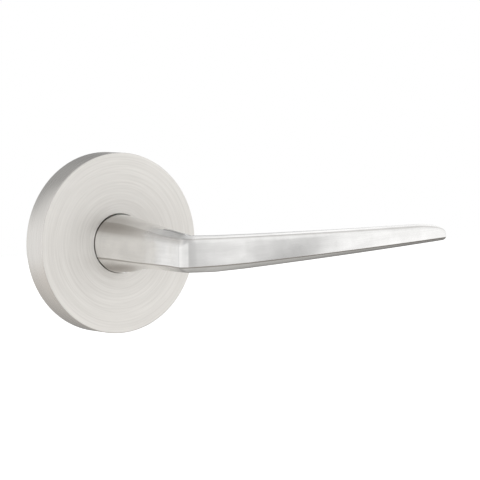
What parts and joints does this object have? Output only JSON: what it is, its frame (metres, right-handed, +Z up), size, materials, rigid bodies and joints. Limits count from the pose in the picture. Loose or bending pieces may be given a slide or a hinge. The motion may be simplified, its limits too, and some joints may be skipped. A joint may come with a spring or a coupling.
{
  "type": "lever handle lockset",
  "caption": "Passage lever trim for a door: plain round satin rose, slim bevelled lever that tapers to a rounded tip, sprung cassette, square spindle and threaded posts.",
  "frame": {"origin": "on the spindle axis, in the plane of the door's face, at the back of the rose", "axes": "+X along the lever towards its tip, +Y into the door along the spindle, +Z up"},
  "size_m": [0.1485, 0.1042, 0.0666],
  "materials": {
    "satin_lever": "satin nickel, fine lengthwise brushing",
    "satin_rose": "satin nickel, fine turned circles on the face",
    "plated_steel": "bright zinc-plated pressed steel",
    "cast_zinc": "as-cast zinc alloy, fine grain",
    "spring_steel": "oiled spring steel",
    "black_steel": "black oxide on hardened steel",
    "nylon": "natural moulded nylon"
  },
  "bodies": {
    "root": {"mounting_plate": "plated_steel", "spring_housing": "cast_zinc", "back_plate": "plated_steel", "front_bush": "nylon", "rear_bush": "nylon", "return_spring": "spring_steel", "spring_anchor_pin": "black_steel", "rest_stop_pin": "black_steel", "travel_stop_pin": "black_steel", "upper_post": "plated_steel", "lower_post": "plated_steel", "left_door_spur": "black_steel", "right_door_spur": "black_steel", "rose_clip_1": "spring_steel", "rose_clip_2": "spring_steel", "rose_clip_3": "spring_steel", "flange_screw_1": "black_steel", "flange_screw_2": "black_steel", "flange_screw_3": "black_steel", "flange_screw_4": "black_steel", "cover_screw_1": "black_steel", "cover_screw_2": "black_steel", "cover_screw_3": "black_steel"},
    "lever_assembly": {"lever": "satin_lever", "drive_cam": "cast_zinc", "wave_washer": "spring_steel", "thrust_washer": "plated_steel", "retaining_ring": "spring_steel", "spindle": "plated_steel", "spindle_grub_screw": "black_steel"},
    "rose": {"rose_cover": "satin_rose"}
  },
  "joints": [
    {"name": "lever_turn", "type": "hinge", "parent": "root", "child": "lever_assembly", "pos_m": [0, 0, 0], "axis": [0, 1, 0], "range_deg": [0, 45], "stiffness_Nm_per_rad": 0.6, "springref_deg": -57.3, "deforming": ["return_spring"]},
    {"name": "rose_slide", "type": "slide", "parent": "root", "child": "rose", "axis": [0, -1, 0], "range_m": [0, 0.015]}
  ]
}
